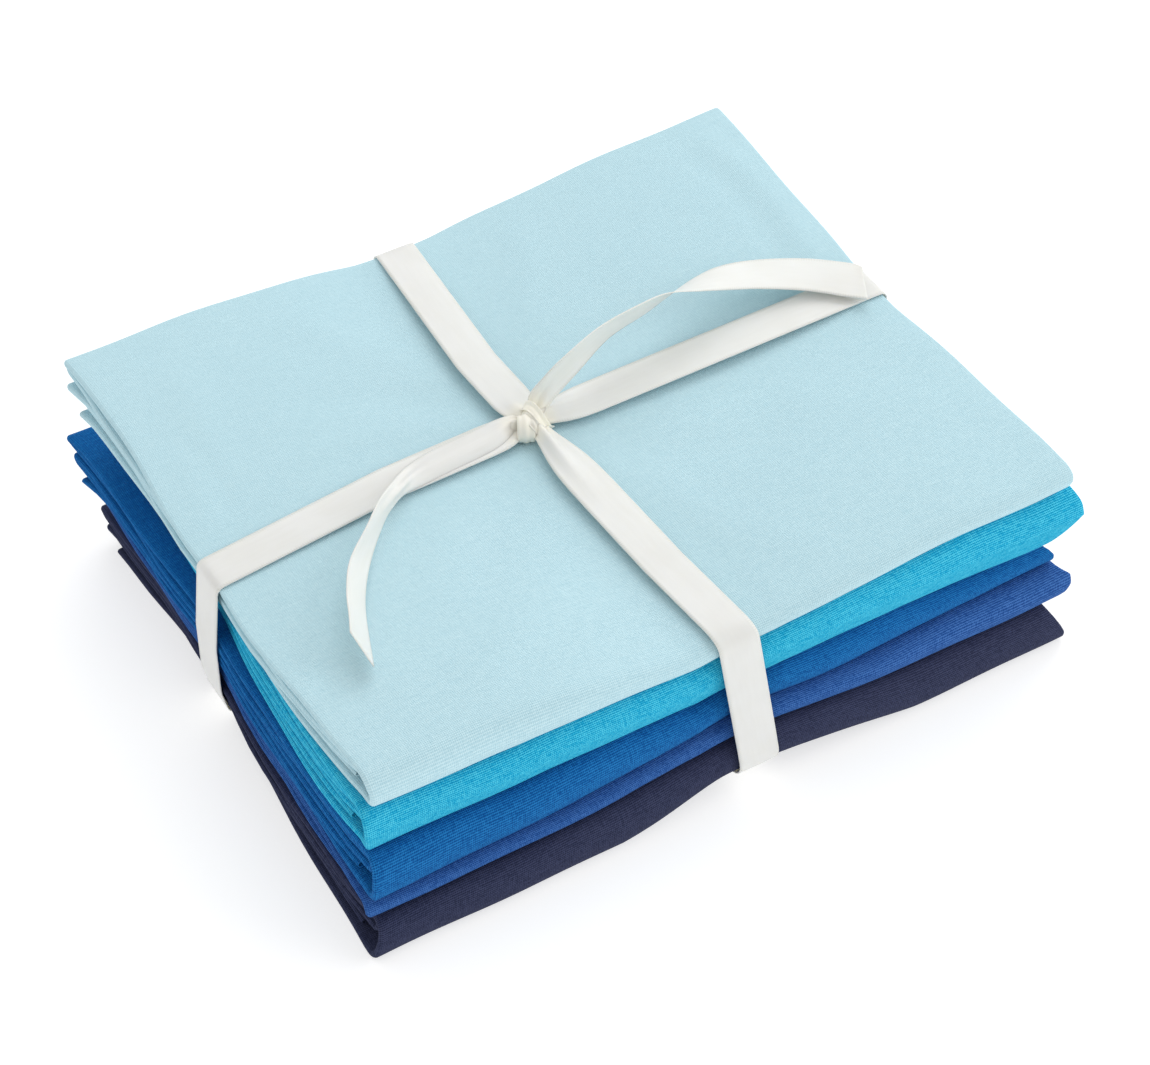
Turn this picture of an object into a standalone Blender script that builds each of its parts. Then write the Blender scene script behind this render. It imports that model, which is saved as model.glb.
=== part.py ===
"""Five folded cotton cloths in a stack, tied both ways with one knotted satin ribbon.

Metres, +Z up. +X runs along the long side. -Y is the long side where each cloth shows one smooth
round fold. The origin is the middle of the underside of the whole bundle.
"""

import math
from collections import namedtuple

import bmesh
import bpy
import numpy as np
from mathutils import geometry

MM = 0.001

# Cloth
CLOTH_THICK = 1.0 * MM
PIECE_GAP = 0.6 * MM
LAYERS = 5
END_ROUND = 2.0 * MM
FRONT_ROUND = 0.62
INNER_FOLD_DEPTH = 1.0 * MM
FOLD_SEGMENTS = 4
FRONT_SEGMENTS = 7

# How far the ends of the layers stand back from a cloth's back edge and from its front fold
BACK_FOLD_IN = 1.6 * MM
INNER_BACK_IN = 4.4 * MM
LOWEST_END_IN = 3.0 * MM
OUTER_FRONT_IN = 12.0 * MM
INNER_FRONT_IN = 7.0 * MM
LAST_END_IN = 9.0 * MM

# Rows of a layer between its ends, as shares of the way from the lengthwise band to an edge
LAYER_STATIONS = (0.6, 0.11, -0.11, -0.6)

# Stations along a layer's length, as shares of the way from the crosswise band to an end
STATIONS = (-1.0, -0.97, -0.64, -0.3, -0.11, 0.11, 0.36, 0.66, 0.97, 1.0)

# Ribbon
RIBBON_WIDE = 10.5 * MM
RIBBON_THICK = 1.0 * MM
RIBBON_GAP = 0.44 * MM
BAND_STEP = 11.0 * MM
BAND_FLAT = 10.0 * MM
BAND_CORNER_STEP = 1.4 * MM
CORNER_ARC_STEPS = 24
PINCH_WIDE = 4.4 * MM
BAND_PINCH_REACH = 12.5 * MM
TAIL_PINCH_REACH = 14.0 * MM
ACROSS_RIBBON = (-1.0, 0.0, 1.0)

# Knot: the two bands cross here, on the top cloth
KNOT_X = -4.8 * MM
KNOT_Y = 5.7 * MM
KNOT_HALF = (3.6 * MM, 4.4 * MM, 2.6 * MM)
KNOT_LIFT = 2.9 * MM
KNOT_ROUND = 14
KNOT_RINGS = 8
WRAP_RING = 2.9 * MM
WRAP_TUBE = 1.25 * MM
WRAP_ROUND = 6
WRAP_LEAN = math.radians(38)

# How fast the cloth swells away from the ribbon, left, right, front and back of the knot
SWELL_LEFT = 24.0 * MM
SWELL_RIGHT = 46.0 * MM
SWELL_FRONT = 42.0 * MM
SWELL_BACK = 40.0 * MM
SWELL_POWER = 1.4
LIFT_WIDE = 34.0 * MM
LIFT_DEEP = 46.0 * MM
LIFT_POWER = 1.5
WAIST_PULL = 1.2 * MM
WAIST_WIDE = 17.0 * MM

# How far the top surface rises in millimetres under the ribbon, from the knot to the back and to
# the right end. A lower surface rises less.
EDGE_RISE = 2.5
RIGHT_RISE_START = 1.0

# Heights of the surfaces between the cloths in millimetres, from the floor up: under the knot, at
# the four corners, and how far each rises at the front where the ribbon draws it up. The lowest
# surface is kept from going under the floor, so its corners lie flat.
Level = namedtuple("Level", "centre front_left front_right back_left back_right front_lift")
LEVELS = (
    Level(2.6, -2.8, -4.6, -2.8, -4.6, 2.8),
    Level(12.3, 12.2, 16.2, 11.0, 12.5, 5.2),
    Level(22.0, 19.0, 29.0, 21.5, 24.5, 3.5),
    Level(31.7, 36.5, 37.2, 32.5, 36.5, 3.8),
    Level(41.4, 49.5, 52.8, 45.0, 48.5, 2.7),
    Level(51.0, 58.8, 60.6, 58.8, 61.2, 0.0),
)

# How much higher or lower each surface lies along the front, in millimetres, at places along x. It
# fades out behind the front.
FRONT_Y = -79.0 * MM
FRONT_FADE = 36.0 * MM
FRONT_X = (-92.0, -70.0, -55.0, -40.0, -25.0, -8.0, 14.0, 30.0, 46.0, 63.0, 82.0)
FRONT_SHIFTS = (
    (0.0, 0.0, 0.0, 0.0, 0.0, 0.0, 0.0, 0.0, 0.0, 0.0, 0.0),
    (-1.0, -0.8, -0.8, -0.7, -0.7, -1.8, -0.4, 0.0, 0.2, 0.0, -0.2),
    (-1.2, -0.9, -0.8, -0.8, -1.2, -2.9, -0.8, -0.6, -0.4, 0.0, -0.4),
    (-4.2, -3.6, -4.0, -3.8, -3.2, -4.0, -0.4, 0.4, 0.8, -0.2, -1.0),
    (-2.4, -3.2, -3.4, -2.2, -0.8, 0.4, 2.6, 3.2, 3.0, 2.6, 1.4),
    (0.0, 0.0, 0.0, 0.0, 0.0, 0.5, 2.5, 2.2, 1.8, 1.3, 0.3),
)

# Plan corners of each cloth in millimetres, front left, front right, back left and back right
Cloth = namedtuple("Cloth", "name front_left front_right back_left back_right")
CLOTHS = (
    Cloth("cloth_navy", (-95.6, -80.0), (95.6, -80.2), (-91.5, 70.0), (93.0, 75.0)),
    Cloth("cloth_royal", (-93.6, -77.9), (93.6, -80.0), (-92.4, 75.0), (92.5, 77.5)),
    Cloth("cloth_mid_blue", (-94.6, -79.4), (88.8, -77.6), (-93.6, 80.2), (91.5, 78.5)),
    Cloth("cloth_turquoise", (-96.6, -77.0), (95.6, -79.2), (-84.5, 75.5), (93.5, 76.5)),
    Cloth("cloth_pale_blue", (-93.4, -77.4), (93.2, -78.2), (-93.2, 78.2), (94.8, 80.4)),
)

# Colour and roughness of each piece
Finish = namedtuple("Finish", "colour rough")
FINISHES = {
    "cloth_navy": Finish((0.026, 0.029, 0.075), 0.92),
    "cloth_royal": Finish((0.025, 0.095, 0.37), 0.9),
    "cloth_mid_blue": Finish((0.007, 0.135, 0.44), 0.9),
    "cloth_turquoise": Finish((0.027, 0.46, 0.69), 0.88),
    "cloth_pale_blue": Finish((0.52, 0.75, 0.81), 0.88),
    "ribbon": Finish((0.82, 0.81, 0.75), 0.42),
}

# Where the crosswise band runs: its x at a given y, in millimetres, over the top and underneath
CrossBand = namedtuple("CrossBand", "y x_top x_under")
CROSS_BAND = (
    CrossBand(-80.0, 0.4, 7.6),
    CrossBand(-50.0, -2.2, 4.6),
    CrossBand(5.7, -4.8, 1.0),
    CrossBand(30.0, -5.8, 0.0),
    CrossBand(80.0, -3.0, -1.0),
)

# Where the lengthwise band runs: its y at a given x, in millimetres, over the top and underneath
LongBand = namedtuple("LongBand", "x y_top y_under")
LONG_BAND = (
    LongBand(-95.0, -0.4, 7.2),
    LongBand(-43.0, 5.0, 6.8),
    LongBand(-4.8, 5.7, 6.0),
    LongBand(95.0, 5.6, 5.0),
)

# Spots along a tail's middle in millimetres, with the height above the floor and the turn of its
# width about its own length, in degrees from level
Spot = namedtuple("Spot", "x y z turn")
LEFT_TAIL = (
    Spot(-5.5, 6.0, 54.6, 0),
    Spot(-15.0, 6.8, 54.8, -4),
    Spot(-26.0, 5.4, 55.2, -10),
    Spot(-36.0, 2.0, 56.2, -24),
    Spot(-45.4, -2.6, 57.2, -50),
    Spot(-55.3, -11.2, 58.4, -73),
    Spot(-64.5, -20.9, 59.6, -78),
    Spot(-71.2, -30.6, 60.5, -78),
    Spot(-75.8, -39.4, 60.9, -75),
    Spot(-78.4, -47.6, 60.9, -70),
)
RIGHT_TAIL = (
    Spot(-3.6, 6.8, 55.2, 60),
    Spot(4.6, 10.8, 57.8, 80),
    Spot(14.0, 14.0, 60.8, 100),
    Spot(26.5, 15.8, 63.6, 112),
    Spot(38.6, 16.6, 64.4, 125),
    Spot(50.0, 18.4, 62.4, 146),
    Spot(62.5, 19.2, 59.2, 166),
    Spot(75.2, 14.2, 57.6, 179),
    Spot(85.4, 5.6, 57.2, 184),
)
TAIL_STEPS = 3
TAIL_CUT = 4.0 * MM


def column(rows, field):
    """One named column of a table, in metres."""
    return np.array([getattr(row, field) for row in rows]) * MM


def blended(rows, along, top, under, at, share):
    """A table's two courses read at a place, mixed by how far down the stack it is."""
    upper = np.interp(at, column(rows, along), column(rows, top))
    lower = np.interp(at, column(rows, along), column(rows, under))
    return upper * (1 - share) + lower * share


def cross_band_x(y, share):
    """x of the crosswise band's middle at y. share is 0 over the top and 1 underneath."""
    return blended(CROSS_BAND, "y", "x_top", "x_under", y, share)


def long_band_y(x, share):
    """y of the lengthwise band's middle at x. share is 0 over the top and 1 underneath."""
    return blended(LONG_BAND, "x", "y_top", "y_under", x, share)


def swell(away, reach):
    """0 under the flat band, rising to 1 with distance from it."""
    clear = np.maximum(np.abs(away) - BAND_FLAT, 0)
    return 1 - np.exp(-((clear / reach) ** SWELL_POWER))


def level_height(index, x, y):
    """Height of one surface between the cloths: drawn in under both bands and full at the corners."""
    level = LEVELS[index]
    share = 1 - index / (len(LEVELS) - 1)
    from_cross = x - cross_band_x(y, share)
    from_long = y - long_band_y(x, share)
    left = swell(np.minimum(from_cross, 0), SWELL_LEFT)
    right = swell(np.maximum(from_cross, 0), SWELL_RIGHT)
    front = swell(np.minimum(from_long, 0), SWELL_FRONT)
    back = swell(np.maximum(from_long, 0), SWELL_BACK)
    height = (
        level.centre
        + (level.front_left - level.centre) * left * front
        + (level.front_right - level.centre) * right * front
        + (level.back_left - level.centre) * left * back
        + (level.back_right - level.centre) * right * back
    )
    toward_front = np.clip(-from_long / LIFT_DEEP - 0.5, 0, 1) ** LIFT_POWER
    toward_back = np.clip(from_long / LIFT_DEEP - 0.5, 0, 1) ** LIFT_POWER
    toward_right = np.clip(from_cross / LIFT_DEEP - RIGHT_RISE_START, 0, 1) ** LIFT_POWER
    near_cross = np.exp(-((from_cross / LIFT_WIDE) ** 2))
    near_long = np.exp(-((from_long / LIFT_WIDE) ** 2))
    height = height + level.front_lift * near_cross * toward_front
    rise = near_cross * toward_back + near_long * toward_right
    height = height + EDGE_RISE * (1 - share) * rise
    fade = np.exp(-((np.maximum(y - FRONT_Y, 0) / FRONT_FADE) ** 2))
    height = height + np.interp(x, np.array(FRONT_X) * MM, FRONT_SHIFTS[index]) * fade
    return np.maximum(height, 0) * MM


def tie_height(index):
    """Height that a cloth has between its two surfaces under the knot."""
    return (LEVELS[index + 1].centre - LEVELS[index].centre) * MM


def fold_path():
    """The back-and-forth course of one cloth as rows of (anchor, offset, layer level).

    The course starts at the back on the lowest layer, goes round the whole piece at the front in
    one smooth fold, comes back over the top and then runs to and fro inside. The anchor is "front"
    or "back" with an offset inwards in metres, "tie" with a share of the way from the lengthwise
    band to an edge, or "round" for the big front fold, whose offset is an angle from bottom to top.
    The level is 0 at the lowest layer and 1 at the highest.
    """
    pitch = 1 / (LAYERS - 1)

    def run(layer, back_in, front_in, forward):
        inner = [("tie", share, layer * pitch) for share in LAYER_STATIONS]
        stops = [("back", back_in, layer * pitch), *inner, ("front", front_in, layer * pitch)]
        return stops if forward else stops[::-1]

    def turn(anchor, inwards, layer):
        angles = np.linspace(0, math.pi, FOLD_SEGMENTS + 1)[1:-1]
        return [
            (anchor, inwards - INNER_FOLD_DEPTH * math.sin(a), (layer - 0.5 + 0.5 * math.cos(a)) * pitch)
            for a in angles
        ]

    round_angles = np.linspace(-math.pi / 2, math.pi / 2, FRONT_SEGMENTS + 1)[1:-1]
    return [
        *run(0, LOWEST_END_IN, OUTER_FRONT_IN, True),
        *[("round", a, 0.5 + 0.5 * math.sin(a)) for a in round_angles],
        *run(4, BACK_FOLD_IN, OUTER_FRONT_IN, False),
        *turn("back", BACK_FOLD_IN, 4),
        *run(3, BACK_FOLD_IN, INNER_FRONT_IN, True),
        *turn("front", INNER_FRONT_IN, 3),
        *run(2, INNER_BACK_IN, INNER_FRONT_IN, False),
        *turn("back", INNER_BACK_IN, 2),
        *run(1, INNER_BACK_IN, LAST_END_IN, True),
    ]


def folded_cloth(index):
    """The middle surface of one folded cloth: a grid of points, fold path by stations."""
    cloth = CLOTHS[index]
    share = 1 - (index + 0.5) / len(CLOTHS)
    station = np.array(STATIONS)
    path = fold_path()
    level = np.array([row[2] for row in path])[:, None]
    across = (station + 1) / 2
    front_left, front_right, back_left, back_right = (
        np.array(corner) * MM
        for corner in (cloth.front_left, cloth.front_right, cloth.back_left, cloth.back_right)
    )
    rough_x = front_left[0] + (front_right[0] - front_left[0]) * across
    tie_y = long_band_y(rough_x, share)
    pull = WAIST_PULL * np.exp(-(((rough_x - cross_band_x(0, share)) / WAIST_WIDE) ** 2))
    half = CLOTH_THICK / 2
    front_y = front_left[1] + (front_right[1] - front_left[1]) * across + half + pull
    back_y = back_left[1] + (back_right[1] - back_left[1]) * across - half - pull
    round_depth = FRONT_ROUND * tie_height(index)
    rows = []
    for anchor, offset, _ in path:
        if anchor == "front":
            rows.append(front_y + offset)
        elif anchor == "back":
            rows.append(back_y - offset)
        elif anchor == "round":
            rows.append(front_y + round_depth * (1 - math.cos(offset)))
        else:
            room = np.where(offset > 0, back_y - tie_y, tie_y - front_y)
            rows.append(tie_y + offset * room)
    y = np.array(rows)
    along_side = (y - front_left[1]) / (back_left[1] - front_left[1])
    side_pull = WAIST_PULL * np.exp(-(((y - tie_y) / WAIST_WIDE) ** 2))
    inset = END_ROUND * (2 * level - 1) ** 2 + side_pull + half
    left_x = front_left[0] + (back_left[0] - front_left[0]) * along_side + inset
    right_x = front_right[0] + (back_right[0] - front_right[0]) * along_side - inset
    middle_x = cross_band_x(y, share)
    x = middle_x + np.where(station < 0, (middle_x - left_x) * station, (right_x - middle_x) * station)
    margin = (PIECE_GAP + CLOTH_THICK) / 2
    low = level_height(index, x, y) + (half if index == 0 else margin)
    high = level_height(index + 1, x, y) - margin
    z = low + (high - low) * level
    return np.stack([x, y, z], axis=-1)


def grid_mesh(name, points, closed=False):
    """A mesh of one grid primitive whose vertices take the given rows by columns of points.

    Each quad is split along the diagonal that runs the same way seen from above, whichever way the
    row runs, so that layers which lie on each other have parallel facets.
    """
    rows, columns = points.shape[:2]
    mesh = bmesh.new()
    bmesh.ops.create_grid(mesh, x_segments=columns - 1, y_segments=rows - 1, size=1)
    mesh.verts.ensure_lookup_table()
    for vertex, place in zip(mesh.verts, points.reshape(-1, 3), strict=True):
        vertex.co = place
    if closed:
        last = (rows - 1) * columns
        for i in range(columns - 1):
            mesh.faces.new([mesh.verts[k] for k in (last + i, last + i + 1, i + 1, i)])
    for face in list(mesh.faces):
        corners = sorted(face.verts, key=lambda vertex: vertex.index)
        forward = corners[2].co.y < corners[0].co.y
        ends = (corners[0], corners[3]) if forward else (corners[1], corners[2])
        bmesh.utils.face_split(face, *ends)
    bmesh.ops.recalc_face_normals(mesh, faces=mesh.faces)
    data = bpy.data.meshes.new(name)
    mesh.to_mesh(data)
    mesh.free()
    return data


def thick_sheet(name, points, thickness, collection, closed=False):
    """An object made of a grid of points, thickened equally to both sides."""
    sheet = bpy.data.objects.new(name, grid_mesh(name, points, closed))
    collection.objects.link(sheet)
    shell = sheet.modifiers.new("Thickness", "SOLIDIFY")
    shell.thickness = thickness
    shell.offset = 0
    shell.use_even_offset = True
    shell.use_quality_normals = True
    return sheet


def taut_loop(grids, axis, course):
    """The closed course of a band round the stack: the taut outline of the cloths' middle surfaces
    near the band, held off by half a cloth, the gap and half a ribbon.

    axis is 1 for the crosswise band, which lies in Y and Z, and 0 for the lengthwise one.
    """
    hold_off = CLOTH_THICK / 2 + RIBBON_GAP + RIBBON_THICK / 2
    angles = np.arange(CORNER_ARC_STEPS) * math.tau / CORNER_ARC_STEPS
    circle = [(hold_off * math.cos(a), hold_off * math.sin(a)) for a in angles]
    spots = []
    for index, grid in enumerate(grids):
        share = 1 - (index + 0.5) / len(grids)
        points = grid.reshape(-1, 3)
        away = np.abs(points[:, 1 - axis] - course(points[:, axis], share))
        for point in points[away < BAND_FLAT + RIBBON_WIDE / 4]:
            spots.extend((point[axis] + dx, point[2] + dz) for dx, dz in circle)
    hull = [spots[i] for i in geometry.convex_hull_2d(spots)]
    kept = [hull[0]]
    for spot, following in zip(hull[1:], hull[2:] + hull[:1], strict=True):
        if max(math.dist(spot, kept[-1]), math.dist(spot, following)) > BAND_CORNER_STEP:
            kept.append(spot)
    loop = []
    for here, there in zip(kept, kept[1:] + kept[:1], strict=True):
        pieces = max(1, round(math.dist(here, there) / BAND_STEP))
        shares = np.arange(pieces)[:, None] / pieces
        loop.extend(np.array(here) + (np.array(there) - np.array(here)) * shares)
    return np.array(loop)


def half_width(distance, reach):
    """Half the ribbon's width at a distance from the knot, where it is pinched."""
    return (PINCH_WIDE + (RIBBON_WIDE - PINCH_WIDE) * (1 - np.exp(-((distance / reach) ** 2)))) / 2


def band(name, grids, axis, course, collection):
    """One band of ribbon round the stack, pinched to the knot on top."""
    loop = taut_loop(grids, axis, course)
    top = loop[:, 1].max()
    share = np.clip(1 - loop[:, 1] / top, 0, 1)
    middle = course(loop[:, 0], share)
    knot = (KNOT_Y if axis == 1 else KNOT_X, top)
    half = half_width(np.linalg.norm(loop - knot, axis=1), BAND_PINCH_REACH)
    sides = np.array(ACROSS_RIBBON)
    points = np.empty((len(loop), len(sides), 3))
    points[:, :, axis] = loop[:, :1]
    points[:, :, 1 - axis] = middle[:, None] + half[:, None] * sides
    points[:, :, 2] = loop[:, 1:]
    return thick_sheet(name, points, RIBBON_THICK, collection, closed=True)


def smooth_rows(rows, steps):
    """Points on a smooth curve through a table's spots: Catmull-Rom pieces, with the turn."""
    knots = np.array([(row.x * MM, row.y * MM, row.z * MM, math.radians(row.turn)) for row in rows])
    padded = np.concatenate([2 * knots[:1] - knots[1:2], knots, 2 * knots[-1:] - knots[-2:-1]])
    out = []
    for a, b, c, d in zip(padded, padded[1:], padded[2:], padded[3:]):
        for t in np.arange(steps) / steps:
            curve = (2 * a - 5 * b + 4 * c - d) * t**2 + (3 * b - a - 3 * c + d) * t**3
            out.append(0.5 * (2 * b + (c - a) * t + curve))
    out.append(knots[-1])
    return np.array(out)


def tail(name, rows, collection):
    """One free end of the ribbon, narrow at the knot and cut on a slant."""
    course = smooth_rows(rows, TAIL_STEPS)
    centre, turn = course[:, :3], course[:, 3]
    along = np.gradient(centre, axis=0)
    along /= np.linalg.norm(along, axis=1, keepdims=True)
    level = np.stack([-along[:, 1], along[:, 0], np.zeros(len(along))], axis=1)
    level /= np.linalg.norm(level, axis=1, keepdims=True)
    upright = np.cross(along, level)
    wide = level * np.cos(turn)[:, None] + upright * np.sin(turn)[:, None]
    distance = np.cumsum(np.linalg.norm(np.diff(centre, axis=0, prepend=centre[:1]), axis=1))
    half = half_width(distance, TAIL_PINCH_REACH)
    sides = np.array(ACROSS_RIBBON)
    points = centre[:, None] + wide[:, None] * (half[:, None] * sides)[:, :, None]
    points[-1:] += sides[None, :, None] * along[-1:, None] * TAIL_CUT / 2
    return thick_sheet(name, points, RIBBON_THICK, collection)


def knot_core(top, collection):
    """The body of the knot, a small flattened lump."""
    bpy.ops.mesh.primitive_uv_sphere_add(segments=KNOT_ROUND, ring_count=KNOT_RINGS, radius=1)
    core = bpy.context.object
    core.name = "knot_core"
    core.scale = KNOT_HALF
    core.location = (KNOT_X, KNOT_Y, top + KNOT_LIFT)
    move_to(core, collection)
    return core


def knot_wrap(top, collection):
    """The turn of ribbon that goes over the knot on a slant."""
    bpy.ops.mesh.primitive_torus_add(
        major_segments=KNOT_ROUND,
        minor_segments=WRAP_ROUND,
        major_radius=WRAP_RING,
        minor_radius=WRAP_TUBE,
    )
    wrap = bpy.context.object
    wrap.name = "knot_wrap"
    wrap.rotation_euler = (math.pi / 2, 0, WRAP_LEAN)
    wrap.location = (KNOT_X, KNOT_Y, top + WRAP_RING + WRAP_TUBE)
    move_to(wrap, collection)
    return wrap


def move_to(thing, collection):
    """Takes an object out of every collection and puts it in one."""
    for holder in thing.users_collection:
        holder.objects.unlink(thing)
    collection.objects.link(thing)


def give_finish(piece):
    """Gives a piece its own material of one colour and roughness."""
    finish = FINISHES[piece.name]
    material = bpy.data.materials.new(piece.name)
    material.use_nodes = True
    shader = material.node_tree.nodes["Principled BSDF"]
    shader.inputs["Base Color"].default_value = (*finish.colour, 1)
    shader.inputs["Roughness"].default_value = finish.rough
    shader.inputs["Metallic"].default_value = 0
    piece.data.materials.append(material)


def ribbon(grids, bundle, helpers):
    """The whole ribbon as one solid: both bands, the knot and the two tails, joined."""
    whole = band("ribbon", grids, 1, cross_band_x, bundle)
    top = level_height(len(CLOTHS), KNOT_X, KNOT_Y) - PIECE_GAP / 2 + RIBBON_GAP
    joined = (
        band("ribbon_long_band", grids, 0, long_band_y, helpers),
        knot_core(top, helpers),
        knot_wrap(top, helpers),
        tail("ribbon_left_tail", LEFT_TAIL, helpers),
        tail("ribbon_right_tail", RIGHT_TAIL, helpers),
    )
    for piece in joined:
        piece.hide_render = True
        piece.display_type = "WIRE"
        union = whole.modifiers.new("Join " + piece.name, "BOOLEAN")
        union.operation = "UNION"
        union.solver = "EXACT"
        union.object = piece
    return whole


def main():
    for thing in list(bpy.data.objects):
        bpy.data.objects.remove(thing)
    bundle = bpy.data.collections.new("fabric_bundle")
    helpers = bpy.data.collections.new("ribbon_pieces")
    helpers.hide_render = True
    for collection in (bundle, helpers):
        bpy.context.scene.collection.children.link(collection)
    grids = [folded_cloth(index) for index in range(len(CLOTHS))]
    for cloth, grid in zip(CLOTHS, grids, strict=True):
        give_finish(thick_sheet(cloth.name, grid, CLOTH_THICK, bundle))
    give_finish(ribbon(grids, bundle, helpers))


main()
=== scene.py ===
"""Five folded cotton cloths tied both ways with one satin ribbon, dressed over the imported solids.

Metres, +Z up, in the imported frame: +X runs along the long side, and -Y is the long side where each
cloth shows one smooth round fold. Tables are in millimetres and are turned into metres where used.
"""

import logging
import math
from dataclasses import dataclass, fields
from enum import Enum
from typing import Any, Mapping, Sequence

import bpy
import numpy as np
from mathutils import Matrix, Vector, geometry


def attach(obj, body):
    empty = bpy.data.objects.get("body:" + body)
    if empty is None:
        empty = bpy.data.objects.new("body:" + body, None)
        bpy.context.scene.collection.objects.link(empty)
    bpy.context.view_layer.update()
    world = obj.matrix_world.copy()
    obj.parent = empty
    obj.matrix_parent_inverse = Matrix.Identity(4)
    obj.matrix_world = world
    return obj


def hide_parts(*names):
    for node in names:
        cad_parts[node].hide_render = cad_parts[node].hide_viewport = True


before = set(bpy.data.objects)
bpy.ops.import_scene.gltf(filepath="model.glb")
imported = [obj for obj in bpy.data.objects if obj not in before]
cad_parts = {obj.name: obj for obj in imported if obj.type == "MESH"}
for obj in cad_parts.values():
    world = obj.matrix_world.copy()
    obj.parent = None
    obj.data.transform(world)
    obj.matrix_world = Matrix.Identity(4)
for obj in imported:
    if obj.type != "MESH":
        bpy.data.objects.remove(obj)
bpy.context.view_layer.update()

LOG = logging.getLogger("fabric_bundle")
Array = np.ndarray

MM = 0.001
ROOT = "root"
FLAT_UV = "flat_cloth"

# Every cloth is folded into three plies across its width, and then to and fro into five runs.
PLIES = 3
RUNS = 5


class Held(Enum):
    """How a sheet is held."""

    FOLDED = "folded"
    STRETCHED = "stretched"


class Axis(Enum):
    """The side of the stack that a band runs along, as the index of its coordinate."""

    LONG = 0
    CROSS = 1


# Shader maths


class Wire:
    """One output socket, on which arithmetic adds Math nodes."""

    def __init__(self, graph: "Graph", socket: Any) -> None:
        """Keeps the socket and the graph that it belongs to."""
        self.graph = graph
        self.socket = socket

    def _math(self, operation: str, *others: Any, first: bool = True) -> "Wire":
        """Adds a Math node.

        Args:
            operation: Blender's name of the operation.
            others: The other operands, wires or numbers.
            first: Whether this wire is the first operand.

        Returns:
            The result as a wire.
        """
        values = (self, *others) if first else (*others, self)
        return self.graph.add("ShaderNodeMath", {"operation": operation}, dict(enumerate(values)))

    def __add__(self, other: Any) -> "Wire":
        """Sum."""
        return self._math("ADD", other)

    __radd__ = __add__

    def __sub__(self, other: Any) -> "Wire":
        """Difference."""
        return self._math("SUBTRACT", other)

    def __rsub__(self, other: Any) -> "Wire":
        """Difference from the left."""
        return self._math("SUBTRACT", other, first=False)

    def __mul__(self, other: Any) -> "Wire":
        """Product."""
        return self._math("MULTIPLY", other)

    __rmul__ = __mul__

    def __truediv__(self, other: Any) -> "Wire":
        """Quotient."""
        return self._math("DIVIDE", other)

    def __rtruediv__(self, other: Any) -> "Wire":
        """Quotient from the left."""
        return self._math("DIVIDE", other, first=False)

    def sine(self) -> "Wire":
        """Sine of the value in radians."""
        return self._math("SINE")

    def absolute(self) -> "Wire":
        """Value without its sign."""
        return self._math("ABSOLUTE")

    def smooth(self, low: float, high: float) -> "Wire":
        """0 on the far side of low, 1 on the far side of high, and a soft step between.

        Args:
            low: Where the step is still 0, which may be the greater of the two.
            high: Where it is 1.

        Returns:
            The step as a wire.
        """
        settings = {"interpolation_type": "SMOOTHSTEP"}
        return self.graph.add("ShaderNodeMapRange", settings, {0: self, 1: low, 2: high})


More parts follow.
